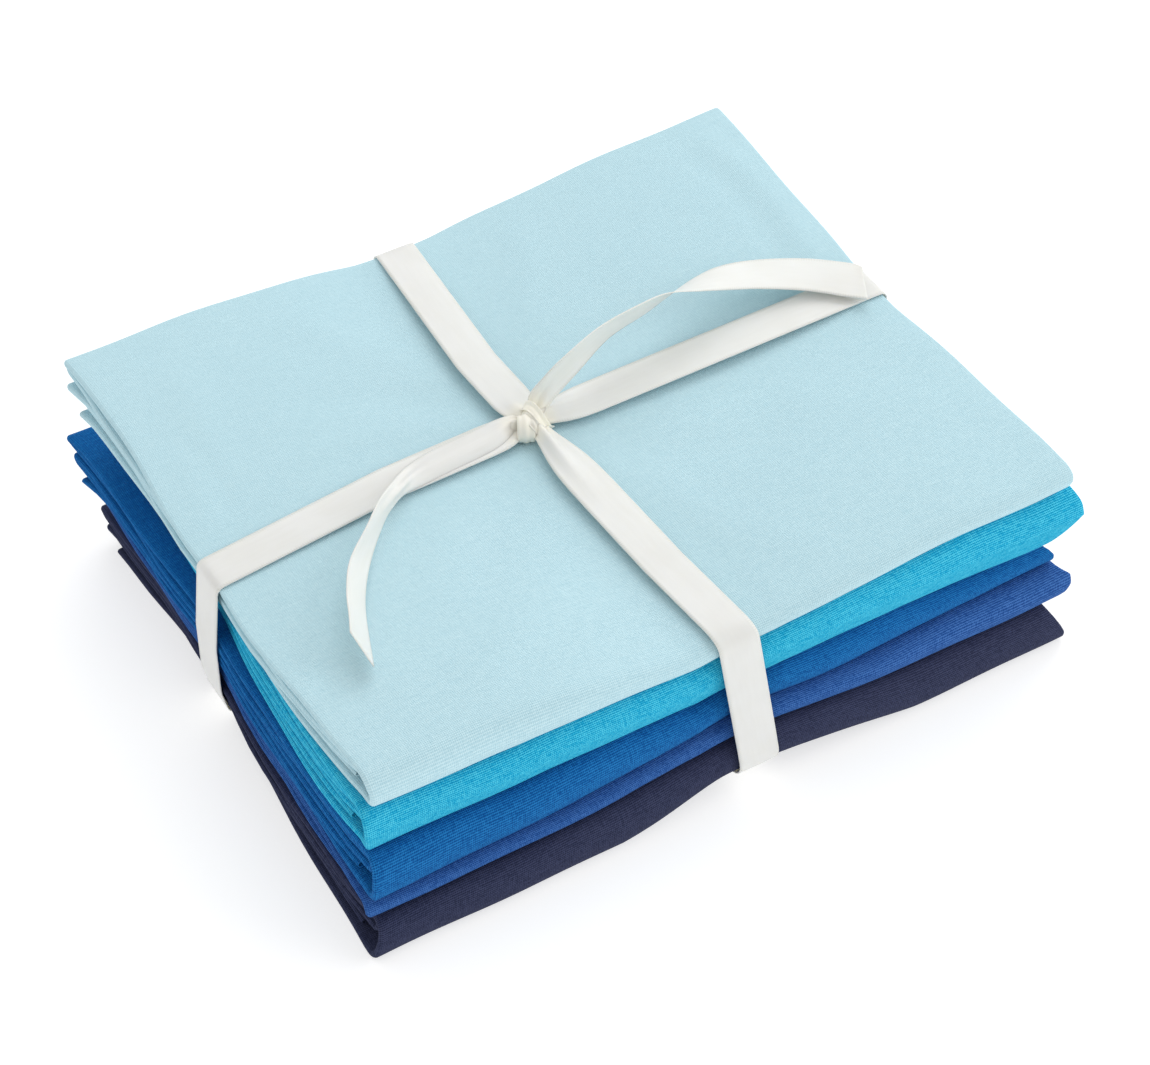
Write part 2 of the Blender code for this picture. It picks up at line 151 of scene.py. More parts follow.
class Graph:
    """The node tree of one material."""

    def __init__(self, name: str) -> None:
        """Makes an empty node material.

        Args:
            name: The material's name.
        """
        self.material = bpy.data.materials.new(name)
        self.material.use_nodes = True
        self.tree = self.material.node_tree
        self.tree.nodes.clear()

    def add(
        self,
        kind: str,
        settings: Mapping[str, Any] | None = None,
        inputs: Mapping[Any, Any] | None = None,
        output: Any = 0,
    ) -> Wire:
        """Adds one node of any type.

        Args:
            kind: The node's type name.
            settings: Values of the node's own properties, set first.
            inputs: Values or wires by the input's name or number.
            output: Name or number of the output to return.

        Returns:
            The chosen output as a wire.
        """
        node = self.tree.nodes.new(kind)
        for key, value in (settings or {}).items():
            setattr(node, key, value)
        for key, value in (inputs or {}).items():
            if isinstance(value, Wire):
                self.tree.links.new(value.socket, node.inputs[key])
            else:
                node.inputs[key].default_value = value
        return Wire(self, node.outputs[output])

    def mix(self, share: Any, low: Any, high: Any) -> Wire:
        """Mixes two colours.

        Args:
            share: 0 gives low and 1 gives high.
            low: A colour or a wire.
            high: A colour or a wire.

        Returns:
            The mixed colour as a wire.
        """
        inputs = {"Factor": share, 6: rgba(low), 7: rgba(high)}
        return self.add("ShaderNodeMix", {"data_type": "RGBA"}, inputs, 2)

    def noise(self, vector: Wire, scale: float = 1.0) -> Wire:
        """Smooth noise from 0 to 1 of a vector."""
        return self.add("ShaderNodeTexNoise", {}, {"Vector": vector, "Scale": scale, "Detail": 2.0})

    def vector(self, x: Any, y: Any, z: Any = 0.0) -> Wire:
        """Three values as one vector."""
        return self.add("ShaderNodeCombineXYZ", {}, {0: x, 1: y, 2: z})

    def flat_place(self) -> tuple[Wire, Wire]:
        """The place on the flat cloth, from the piece's own UV map.

        Returns:
            The distances across and along the flat cloth in metres, as two wires.
        """
        uv = self.add("ShaderNodeUVMap", {"uv_map": FLAT_UV})
        parts = self.add("ShaderNodeSeparateXYZ", {}, {0: uv})
        nodes = parts.socket.node
        return Wire(self, nodes.outputs[0]), Wire(self, nodes.outputs[1])

    def forward(self) -> Wire:
        """How far a point lies towards the front of the stack, from the object's own y."""
        place = self.add("ShaderNodeTexCoord", output="Object")
        return 0.0 - self.add("ShaderNodeSeparateXYZ", {}, {0: place}, 1)

    def distance(self, spot: tuple[float, float, float]) -> Wire:
        """Distance from a spot, in the object's own coordinates."""
        place = self.add("ShaderNodeTexCoord", output="Object")
        return self.add("ShaderNodeVectorMath", {"operation": "DISTANCE"}, {0: place, 1: spot}, 1)

    def surface(self, inputs: Mapping[str, Any]) -> bpy.types.Material:
        """Ends the graph in a Principled shader.

        Args:
            inputs: Values or wires by the shader's input names.

        Returns:
            The finished material.
        """
        shader = self.add("ShaderNodeBsdfPrincipled", {}, inputs)
        output = self.tree.nodes.new("ShaderNodeOutputMaterial")
        self.tree.links.new(shader.socket, output.inputs["Surface"])
        return self.material


def rgba(colour: Any) -> Any:
    """A colour with its alpha, or a wire as it is."""
    return colour if isinstance(colour, Wire) else (*colour, 1.0)


# Finishes


@dataclass(frozen=True)
class CottonFinish:
    """Matt plain-weave cotton with uneven threads.

    The weave is two sets of round threads at right angles, each thread's crown rising over one
    crossing and dipping under the next. Every thread has a slightly different tone, which shows as
    fine lines, and soft clouds vary the colour over the cloth. The gaps between the threads and the
    holes where they cross are painted darker, as painted shade.
    """

    name: str
    colour: tuple[float, float, float]
    light: tuple[float, float, float]
    dark: tuple[float, float, float]
    roughness: float = 0.92
    gloss: float = 0.12
    thread: float = 0.47 * MM
    relief: float = 0.10 * MM
    tone: float = 1.45
    row_tone: float = 0.9
    column_tone: float = 0.6
    grain_tone: float = 1.6
    speck_tone: float = 0.6
    cloud_tone: float = 0.22
    # Painted shade: how much darker the holes where threads cross and the gaps between threads are.
    hole_dark: float = 1.05
    gap_dark: float = 0.42
    mean_tone: float = 0.44
    tone_range: float = 0.62
    back_share: float = 0.5
    calm_back: float = -60.0 * MM
    full_front: float = 75.0 * MM

    def material(self) -> bpy.types.Material:
        """Builds the node material.

        Each thread's crown is the squared sine across it, and the gaps between the crowns and the small
        holes where two gaps cross are painted darker, as painted shade. Tone varies in streaks a few
        threads long, in single crossings, and in clouds. It is strongest on the front folds, where the
        cloth is stretched, and half of that at the back.
        Below 0 the colour goes over into the dark one, and above 0 into the light one.

        Returns:
            The material.
        """
        graph = Graph(self.name)
        u, v = graph.flat_place()
        along, across = u / self.thread, v / self.thread
        warp = (along * math.pi).sine()
        weft = (across * math.pi).sine()
        warp_crown, weft_crown = warp * warp, weft * weft
        hole = (1.0 - warp_crown) * (1.0 - weft_crown)
        row = graph.noise(graph.vector(along * 0.09, across * 0.9))
        column = graph.noise(graph.vector(along * 0.9, across * 0.12, 7.0))
        grain = graph.noise(graph.vector(along * 0.75, across * 0.8, 3.0))
        speck = graph.noise(graph.vector(along, across, 5.0), 0.22)
        cloud = graph.noise(graph.vector(u, v, 2.0), 30.0)
        threads = (row - 0.5) * self.row_tone + (column - 0.5) * self.column_tone
        threads = threads + (grain - 0.5) * self.grain_tone + (speck - 0.5) * self.speck_tone
        # Painted shade in the holes where threads cross and in the gaps between them.
        threads = threads - hole * self.hole_dark - (1.0 - weft_crown) * self.gap_dark
        forward = graph.forward().smooth(self.calm_back, self.full_front)
        strength = (self.back_share + forward * (1 - self.back_share)) * self.tone
        tone = (threads + self.mean_tone) * strength + (cloud - 0.5) * self.cloud_tone
        shade = graph.mix(tone.smooth(-self.tone_range, 0.0), self.dark, self.colour)
        shade = graph.mix(tone.smooth(0.0, self.tone_range), shade, self.light)
        height = warp_crown * 0.7 + weft_crown + grain * 0.9 + row * 0.5
        bump = graph.add(
            "ShaderNodeBump", {}, {"Strength": 0.6, "Distance": self.relief, "Height": height}
        )
        inputs = {
            "Base Color": shade,
            "Roughness": self.roughness - weft_crown * 0.04,
            "Normal": bump,
            "Specular IOR Level": self.gloss,
        }
        return graph.surface(inputs)


@dataclass(frozen=True)
class SatinFinish:
    """Cream satin ribbon: fine ribs across it, a soft gloss, and a woven edge with tiny ticks.

    Near the knot its colour is painted lighter and warmer. This is painted light: it stands for light
    shining through the layered ribbon there, and it offsets the shade among the knot's folds.
    """

    name: str
    colour: tuple[float, float, float] = (0.80, 0.798, 0.765)
    shade: tuple[float, float, float] = (0.765, 0.76, 0.72)
    edge: tuple[float, float, float] = (0.66, 0.65, 0.60)
    # Painted light: the lighter, warmer cream that the ribbon's colour goes over into near the knot.
    warm: tuple[float, float, float] = (0.93, 0.885, 0.76)
    knot: tuple[float, float, float] = (-5.8 * MM, 4.4 * MM, 54.0 * MM)
    knot_near: float = 3.5 * MM
    knot_far: float = 9.0 * MM
    wide: float = 10.5 * MM
    rib: float = 0.24 * MM
    tick: float = 0.62 * MM
    edge_wide: float = 0.55 * MM
    tick_dark: float = 0.35
    border_dark: float = 0.06
    roughness: float = 0.42
    gloss: float = 0.4
    relief: float = 0.05 * MM
    glow: float = 0.4
    glow_deep: float = 0.8 * MM

    def material(self) -> bpy.types.Material:
        """Builds the node material.

        The border is a soft step at the woven edge, the ribs and the ticks are sines of the distance
        along the ribbon, and the painted light near the knot is a soft step of the distance from it.

        Returns:
            The material.
        """
        graph = Graph(self.name)
        across, along = graph.flat_place()
        middle = (across - self.wide / 2).absolute()
        border = middle.smooth(self.wide / 2 - 2 * self.edge_wide, self.wide / 2 - self.edge_wide)
        ribs = (along * (2 * math.pi / self.rib)).sine()
        ticks = (along * (2 * math.pi / self.tick)).sine().smooth(0.1, 0.8) * border
        drift = graph.noise(graph.vector(across, along * 0.12), 900.0)
        cloud = graph.noise(graph.vector(across, along), 60.0)
        shade = graph.mix((drift * 0.3 + cloud * 0.7).smooth(0.35, 0.7), self.colour, self.shade)
        shade = graph.mix(ticks * self.tick_dark + border * self.border_dark, shade, self.edge)
        # Painted light: near the knot the colour goes over into a lighter, warmer cream.
        painted_light_share = graph.distance(self.knot).smooth(self.knot_far, self.knot_near)
        shade = graph.mix(painted_light_share, shade, self.warm)
        height = ribs * 0.12 + drift * 0.08 + ticks * 0.3 - border * 0.12
        bump = graph.add(
            "ShaderNodeBump", {}, {"Strength": 0.4, "Distance": self.relief, "Height": height}
        )
        inputs = {
            "Base Color": shade,
            "Roughness": self.roughness + border * 0.1 + (cloud - 0.5) * 0.08,
            "Normal": bump,
            "Specular IOR Level": self.gloss,
            "Subsurface Weight": self.glow,
            "Subsurface Radius": (1.0, 0.95, 0.8),
            "Subsurface Scale": self.glow_deep,
        }
        return graph.surface(inputs)


# The stack's surfaces


@dataclass(frozen=True)
class Level:
    """Height of one surface between the cloths, in millimetres.

    It is given under the knot and at the four corners, with how far the surface rises at the front
    where the ribbon draws it up.
    """

    centre: float
    front_left: float
    front_right: float
    back_left: float
    back_right: float
    front_lift: float


@dataclass(frozen=True)
class Crease:
    """A soft trough (depth below 0) or ridge along a line on top of the stack, in millimetres."""

    start: tuple[float, float]
    end: tuple[float, float]
    wide: float
    rise: float


@dataclass(frozen=True)
class Course:
    """Where a band's middle runs: its sideways place at spots along it, over and under the stack."""

    at: tuple[float, ...]
    over: tuple[float, ...]
    under: tuple[float, ...]

    def middle(self, at: Array, share: Any) -> Array:
        """The sideways place in metres, mixed from the two courses.

        Args:
            at: Places along the band, in metres.
            share: 0 over the top and 1 underneath.

        Returns:
            The sideways places in metres.
        """
        along = np.array(self.at) * MM
        upper = np.interp(at, along, np.array(self.over) * MM)
        lower = np.interp(at, along, np.array(self.under) * MM)
        return upper * (1 - share) + lower * share


CROSS_COURSE = Course(
    (-80.0, -50.0, 5.7, 30.0, 80.0), (0.4, -2.2, -4.8, -5.8, -3.0), (7.6, 4.6, 1.0, 0.0, -1.0)
)
LONG_COURSE = Course((-95.0, -43.0, -4.8, 95.0), (-0.4, 5.0, 5.7, 5.6), (7.2, 6.8, 6.0, 5.0))

LEVELS = (
    Level(2.6, -2.8, -4.6, -2.8, -4.6, 2.8),
    Level(12.3, 12.2, 16.2, 11.0, 12.5, 5.2),
    Level(22.0, 19.0, 29.0, 21.5, 24.5, 3.5),
    Level(31.7, 36.5, 37.2, 32.5, 36.5, 3.8),
    Level(41.4, 49.5, 52.8, 45.0, 48.5, 2.7),
    Level(51.0, 58.8, 60.6, 58.8, 61.2, 0.0),
)

# Places along the front, and how far each surface from the lowest up is shifted there.
FRONT_STATIONS = (-92.0, -70.0, -55.0, -40.0, -25.0, -8.0, 14.0, 30.0, 46.0, 63.0, 82.0)
FRONT_SHIFTS = (
    (0.0, 0.0, 0.0, 0.0, 0.0, 0.0, 0.0, 0.0, 0.0, 0.0, 0.0),
    (-1.0, 0.2, 0.2, 0.4, 0.2, -1.4, -0.3, 0.2, 0.4, 0.1, -0.2),
    (-2.6, -1.8, -1.4, -1.6, -2.0, -3.0, -0.8, -0.8, -0.6, 0.1, -0.4),
    (-4.2, -3.7, -4.1, -3.8, -3.2, -4.0, -0.4, 0.2, 0.7, -0.4, -1.0),
    (-2.4, -3.2, -3.4, -2.2, -0.8, 0.5, 3.2, 3.7, 3.3, 2.8, 1.6),
    (0.0, 0.0, 0.0, 0.0, 0.0, 0.3, 2.2, 2.0, 1.6, 1.2, 0.3),
)

TOP_CREASES = (
    Crease((-10, 18), (-52, 40), 5.0, -0.45),
    Crease((-14, 13), (-60, 24), 3.0, 0.35),
    Crease((-16, 27), (-40, 66), 6.0, 0.35),
    Crease((-88, 10), (-70, 62), 6.0, 0.40),
    Crease((-80, 14), (-78, 40), 3.0, -0.35),
    Crease((4, 16), (40, 44), 6.0, -0.40),
    Crease((10, 34), (28, 70), 5.0, 0.30),
    Crease((86, 20), (84, 72), 3.5, 0.45),
    Crease((78, 22), (77, 70), 3.0, -0.25),
    Crease((6, -6), (46, -30), 7.0, -0.45),
    Crease((10, -22), (30, -66), 6.0, 0.35),
    Crease((52, -14), (84, -40), 8.0, 0.35),
    Crease((-14, -8), (-44, -40), 7.0, -0.40),
    Crease((-22, -44), (-60, -66), 6.0, 0.35),
    Crease((-86, -12), (-80, -60), 4.0, -0.35),
    Crease((-60, -8), (-88, -14), 4.0, 0.30),
)


@dataclass(frozen=True)
class Stack:
    """The shape that the tied stack takes: how high each surface between the cloths lies.

    A surface is flat under both bands and swells towards its corners as one minus an exponential of
    the distance from the band, and the lowest one is kept from going under the floor. Under the
    bands it rises a little towards the back and the right end. Near the front each surface also
    shifts up or down by a few millimetres, from a table of places along it.
    """

    levels: tuple[Level, ...] = LEVELS
    front: float = -79.0 * MM
    front_fade: float = 36.0 * MM
    cross: Course = CROSS_COURSE
    long: Course = LONG_COURSE
    creases: tuple[Crease, ...] = TOP_CREASES
    band_flat: float = 10.0 * MM
    reach_left: float = 24.0 * MM
    reach_right: float = 46.0 * MM
    reach_front: float = 42.0 * MM
    reach_back: float = 40.0 * MM
    power: float = 1.4
    lift_wide: float = 34.0 * MM
    lift_deep: float = 46.0 * MM
    lift_power: float = 1.5
    front_start: float = 0.5
    back_start: float = 0.5
    right_start: float = 1.0
    edge_rise: float = 2.5
    crease_bend: float = 0.06
    crease_clear: float = 8.0 * MM

    def _swell(self, away: Array, reach: float) -> Array:
        """One minus exp(-(clear/reach)^power), clear being the distance past the flat band."""
        clear = np.maximum(away - self.band_flat, 0)
        return 1 - np.exp(-((clear / reach) ** self.power))

    def _lift(self, away: Array, start: float) -> Array:
        """The distance past a start, over the lift's depth and up to 1, to a power."""
        return np.clip(away / self.lift_deep - start, 0, 1) ** self.lift_power

    def _creased(self, x: Array, y: Array) -> Array:
        """Sum of the creases: each a Gaussian across its bent line that fades at its two ends.

        Args:
            x: Places along the long side, in metres.
            y: Places along the short side, in metres.

        Returns:
            What the creases add to the height, in metres.
        """
        total = np.zeros(np.broadcast(x, y).shape)
        for crease in self.creases:
            start, end = np.array(crease.start) * MM, np.array(crease.end) * MM
            line = end - start
            long = float(np.hypot(*line))
            along = ((x - start[0]) * line[0] + (y - start[1]) * line[1]) / long**2
            side = ((x - start[0]) * line[1] - (y - start[1]) * line[0]) / long
            bend = self.crease_bend * long * np.sin(math.pi * np.clip(along, 0, 1))
            fade = np.exp(-(np.clip(np.abs(along - 0.5) - 0.3, 0, None) / 0.2) ** 2)
            total += crease.rise * MM * fade * np.exp(-(((side - bend) / (crease.wide * MM)) ** 2))
        return total

    def height(self, index: int, x: Array, y: Array) -> Array:
        """Height of one surface.

        Args:
            index: The surface, from 0 at the floor to 5 on top.
            x: Places along the long side, in metres.
            y: Places along the short side, in metres.

        Returns:
            Heights in metres.
        """
        level = self.levels[index]
        share = 1 - index / (len(self.levels) - 1)
        from_cross = x - self.cross.middle(y, share)
        from_long = y - self.long.middle(x, share)
        left = self._swell(np.maximum(-from_cross, 0), self.reach_left)
        right = self._swell(np.maximum(from_cross, 0), self.reach_right)
        front = self._swell(np.maximum(-from_long, 0), self.reach_front)
        back = self._swell(np.maximum(from_long, 0), self.reach_back)
        tall = (
            level.centre
            + (level.front_left - level.centre) * left * front
            + (level.front_right - level.centre) * right * front
            + (level.back_left - level.centre) * left * back
            + (level.back_right - level.centre) * right * back
        )
        forward = self._lift(-from_long, self.front_start)
        backward = self._lift(from_long, self.back_start)
        rightward = self._lift(from_cross, self.right_start)
        by_cross = np.exp(-((from_cross / self.lift_wide) ** 2))
        by_long = np.exp(-((from_long / self.lift_wide) ** 2))
        rise = self.edge_rise * (1 - share) * (by_cross * backward + by_long * rightward)
        behind = np.maximum(y - self.front, 0) / self.front_fade
        shift = np.interp(x, np.array(FRONT_STATIONS) * MM, FRONT_SHIFTS[index])
        tall = tall + level.front_lift * by_cross * forward + rise + shift * np.exp(-(behind**2))
        tall = np.maximum(tall, 0) * MM
        if index == len(self.levels) - 1:
            clear = np.minimum(np.abs(from_cross), np.abs(from_long))
            tall = tall + self._creased(x, y) * np.clip(clear / self.crease_clear - 0.6, 0, 1)
        return tall


STACK = Stack()


# Meshes


def grid_faces(rows: int, columns: int, closed: bool) -> Array:
    """Quads of a grid whose points are listed row by row.

    Args:
        rows: Number of rows.
        columns: Number of columns.
        closed: Whether the last row joins the first.

    Returns:
        One row of four point numbers a face.
    """
    here = np.arange(rows if closed else rows - 1)[:, None] * columns + np.arange(columns - 1)
    there = (here + columns) % (rows * columns)
    return np.stack([here, here + 1, there + 1, there], axis=-1).reshape(-1, 4)


def sheet_object(
    name: str, grids: Sequence[tuple[Array, Array, bool]], thickness: float
) -> bpy.types.Object:
    """One object made of grids of points with flat coordinates, thickened equally to both sides.

    Args:
        name: The piece's name.
        grids: For each grid its points, its flat coordinates in metres, and whether it is closed.
        thickness: The cloth's thickness in metres.

    Returns:
        The object, at the origin.
    """
    points, faces, corners, start = [], [], [], 0
    for place, flat, closed in grids:
        rows, columns = place.shape[:2]
        quads = grid_faces(rows, columns, closed)
        ends = flat.reshape(-1, 2)[quads]
        if closed:
            step = flat[1, 0, 1] - flat[0, 0, 1]
            wrapped = quads[:, 2] < quads[:, 0]
            ends[wrapped, 2:, 1] = flat[-1, 0, 1] + step
        points.append(place.reshape(-1, 3))
        faces.append(quads + start)
        corners.append(ends.reshape(-1, 2))
        start += rows * columns
    mesh = bpy.data.meshes.new(name)
    mesh.from_pydata(np.concatenate(points).tolist(), [], np.concatenate(faces).tolist())
    layer = mesh.uv_layers.new(name=FLAT_UV)
    layer.data.foreach_set("uv", np.concatenate(corners).astype(np.float32).ravel())
    mesh.shade_smooth()
    mesh.update()
    piece = bpy.data.objects.new(name, mesh)
    bpy.context.scene.collection.objects.link(piece)
    shell = piece.modifiers.new("Thickness", "SOLIDIFY")
    shell.thickness = thickness
    shell.offset = 0
    shell.use_quality_normals = True
    return piece


# Folded cloth


@dataclass(frozen=True)
class Ends:
    """How far the left or right ends of a cloth's runs stand in from its widest line, in mm.

    runs lists them from the lowest run to the top one, and wrap lists the front fold's end from its
    bottom to its top. flare is how far the top run's corner at the back is drawn out, with the other
    runs in the proportion of flares, and sag is how far the side line stands in midway between the
    band and the back.
    """

    runs: tuple[float, float, float, float, float]
    wrap: tuple[float, float, float, float, float]
    flare: float = 0.0
    sag: float = 0.0
    flares: tuple[float, float, float, float, float] = (1.7, 0.5, 1.4, 0.6, 1.0)

    @staticmethod
    def by_run(amounts: Sequence[float], run: Array) -> Array:
        """Amounts listed in mm from the lowest run up, in metres for any run."""
        return np.interp(run, np.arange(RUNS), np.array(amounts)) * MM


@dataclass(frozen=True)
class FoldRows:
    """The rows of a fold path, with one value a row in each column.

    front_share is 0 at the back line and 1 at the front line, and back_in and front_in are the
    distances from those lines. reach is how far a turn's middle ply bows out, and reach_slope how
    much each ply adds to that. level counts plies from the lowest one, and level_slope is 1 where
    the plies lie upright and -1 where they lie upside down. run is the run's number from 0 up, and
    wrap is above 0 in the smooth front fold alone.
    """

    front_share: Array
    back_in: Array
    front_in: Array
    reach: Array
    reach_slope: Array
    level: Array
    level_slope: Array
    run: Array
    wrap: Array

    @classmethod
    def of(cls, count: int, **columns: Array | float) -> "FoldRows":
        """Rows with the given columns, and 0 in every other one.

        Args:
            count: How many rows.
            columns: Numbers, or arrays with one value a row.

        Returns:
            The rows.
        """
        names = [field.name for field in fields(cls)]
        return cls(*(np.full(count, columns.get(name, 0.0), float) for name in names))

    @classmethod
    def joined(cls, parts: Sequence["FoldRows"]) -> "FoldRows":
        """All parts one after another, with every column standing upright.

        Args:
            parts: The parts of the path in order.

        Returns:
            The whole path.
        """
        names = [field.name for field in fields(cls)]
        columns = ([getattr(part, name) for part in parts] for name in names)
        return cls(*(np.concatenate(column)[:, None] for column in columns))


@dataclass(frozen=True)
class FoldedCloth:
    """One cloth folded in three across its width, and then to and fro into five runs.

    Its flat sheet has two parameters. One goes along the runs: from the back edge of the lowest run
    round the front in one smooth fold, over the top, and to and fro inside. The other goes across
    the three plies of each run: from the free edge at the right to the left fold, back over the
    outer ply to the right fold, and under it to the free edge at the left.
    """

    name: str
    index: int
    finish: CottonFinish
    front_left: tuple[float, float]
    front_right: tuple[float, float]
    back_left: tuple[float, float]
    back_right: tuple[float, float]
    left: Ends
    right: Ends
    seed: int
    flat: tuple[float, float] = (0.55, 0.77)
    thick: float = 0.34 * MM
    gap: float = 0.5 * MM
    wrap_deep: float = 6.0 * MM
    wrap_square: float = 0.66
    turn_deep: float = 2.0 * MM
    ply: float = 0.85
    back_free: float = 8.5 * MM
    back_outer: float = 2.4 * MM
    back_inner: float = 4.6 * MM
    front_inner: float = 6.2 * MM
    front_free: float = 10.0 * MM
    inner_in: float = 1.6 * MM
    free_left: float = 0.03
    free_right: float = 0.965
    waist: float = 1.2 * MM
    waist_wide: float = 17.0 * MM
    fold_wave: float = 0.22 * MM
    fold_wave_long: float = 17.0 * MM
    fold_wave_short: float = 6.3 * MM
    side_wave: float = 0.4 * MM
    side_wave_long: float = 19.0 * MM
    side_wave_short: float = 7.5 * MM
    wrap_fade: float = 16.0 * MM
    flare_fade: float = 7.0 * MM
    sag_at: float = 34.0 * MM
    sag_wide: float = 22.0 * MM
    bulge: float = 0.7 * MM

    @staticmethod
    def _run(count: int, run: int, back_in: float, front_in: float, forward: bool) -> FoldRows:
        """Rows of one straight run.

        Args:
            count: How many rows.
            run: The run, 0 at the bottom and 4 on top.
            back_in: Distance of its back end from the back line.
            front_in: Distance of its front end from the front line.
            forward: Whether it goes from back to front.

        Returns:
            The rows.
        """
        return FoldRows.of(
            count,
            front_share=np.linspace(0, 1, count) if forward else np.linspace(1, 0, count),
            back_in=back_in,
            front_in=front_in,
            level=1.0 + PLIES * run,
            level_slope=1.0 if run in (0, 1, 3) else -1.0,
            run=run,
        )

    def _turn(self, count: int, low: int, high: int, inwards: float, front: bool) -> FoldRows:
        """Rows of one turn between two runs, from the higher to the lower one.

        The plies lie on half ellipses round the turn's middle level: the reach is a cosine and the
        level a sine of the same angle.

        Args:
            count: How many rows.
            low: The lower run.
            high: The higher run.
            inwards: How far from the front or back line the turn starts.
            front: Whether it is at the front.

        Returns:
            The rows.
        """
        angle = np.linspace(math.pi / 2, -math.pi / 2, count + 2)[1:-1]
        sign = 1.0 if front else -1.0
        half = PLIES / 2 * (high - low)
        outwards = -sign * np.cos(angle) * self.turn_deep / (half + self.ply)
        return FoldRows.of(
            count,
            front_share=float(front),
            back_in=inwards,
            front_in=inwards,
            reach=outwards * half,
            reach_slope=outwards * sign,
            level=1.0 + PLIES / 2 * (low + high) + half * np.sin(angle),
            level_slope=sign * np.sin(angle),
            run=(low + high) / 2 + (high - low) / 2 * np.sin(angle),
        )

    def _wrap(self, count: int) -> FoldRows:
        """Rows of the smooth front fold, from the lowest run up to the top one.

        It is a half circle like the turns, but blunter, with the cosine to a power below 1.

        Args:
            count: How many rows.

        Returns:
            The rows.
        """
        angle = np.linspace(-math.pi / 2, math.pi / 2, count + 2)[1:-1]
        half = PLIES * (RUNS - 1) / 2
        outwards = -(np.cos(angle) ** self.wrap_square) * self.wrap_deep / (half + self.ply)
        return FoldRows.of(
            count,
            front_share=1.0,
            front_in=self.wrap_deep,
            reach=outwards * half,
            reach_slope=-outwards,
            level=1.0 + half + half * np.sin(angle),
            level_slope=-np.sin(angle),
            run=(RUNS - 1) / 2 * (1 + np.sin(angle)),
            wrap=np.cos(angle),
        )

    def _course(self) -> FoldRows:
        """The whole fold path: the lowest run, the front fold, the top run, and the inner ones.

        Returns:
            The rows from the sheet's one end to the other.
        """
        return FoldRows.joined(
            [
                self._run(26, 0, self.back_free, self.wrap_deep, True),
                self._wrap(25),
                self._run(88, 4, self.back_outer, self.wrap_deep, False),
                self._turn(9, 3, 4, self.back_outer, False),
                self._run(20, 3, self.back_outer, self.front_inner, True),
                self._turn(9, 2, 3, self.front_inner, True),
                self._run(20, 2, self.back_inner, self.front_inner, False),
                self._turn(9, 1, 2, self.back_inner, False),
                self._run(16, 1, self.back_inner, self.front_free, True),
            ]
        )

    def _columns(self) -> tuple[Array, Array, Array]:
        """The columns across the plies: the inner ply, the outer one and the one under it.

        Returns:
            The share of the way from left to right, the ply from 0 up, and the side folds' bulge.
        """
        turn = np.linspace(0, math.pi, 9)[1:-1]
        inner = np.linspace(0, 1, 20)
        outer = np.linspace(0, 1, 96)
        first = self.free_right * inner[::-1]
        last = self.free_left + (1 - self.free_left) * inner[::-1]
        share = np.concatenate([first, 0 * turn, outer, 0 * turn + 1, last])
        ply = np.concatenate(
            [2 + 0 * inner, 1 + np.cos(turn), 0 * outer, 0.5 - 0.5 * np.cos(turn), 1 + 0 * inner]
        )
        bulge = np.concatenate(
            [0 * inner, -np.sin(turn), 0 * outer, 0.8 * np.sin(turn), 0 * inner]
        )
        return share, ply, bulge * self.bulge

    def _edge(
        self,
        ends: Ends,
        sign: float,
        line: Array,
        y: Array,
        rows: FoldRows,
        limits: tuple[Array, Array],
    ) -> Array:
        """x of the left or right end of every row.

        Each run's end follows the cloth's own side line, stands in by its own amount and wavers a
        little. Near the front it goes over into the end of the smooth fold, behind which the inner
        runs stay hidden.

        Args:
            ends: The amounts for this end.
            sign: 1 at the left and -1 at the right.
            line: x of the widest line.
            y: Places of the points.
            rows: The fold path.
            limits: The front and back lines.

        Returns:
            x in metres.
        """
        front, back = limits
        outer = (rows.wrap > 0) | (rows.run < 0.5) | (rows.run > RUNS - 1.01)
        wrap = ends.by_run(ends.wrap, rows.run) + np.where(outer, 0, self.inner_in)
        near = np.exp(-(np.maximum(y - front - self.wrap_deep, 0) / self.wrap_fade))
        phase = self.seed * 1.7 + rows.run * 2.1
        waver = np.sin(y / self.side_wave_long + phase)
        waver = waver + 0.6 * np.sin(y / self.side_wave_short - phase)
        from_end = np.maximum(back - rows.back_in - y, 0)
        flare = ends.by_run(ends.flares, rows.run) * ends.flare * np.exp(-from_end / self.flare_fade)
        sag = ends.sag * MM * np.exp(-(((y - self.sag_at) / self.sag_wide) ** 2))
        free = ends.by_run(ends.runs, rows.run) + self.side_wave * waver + sag - flare
        return line + sign * (free + (wrap - free) * near)

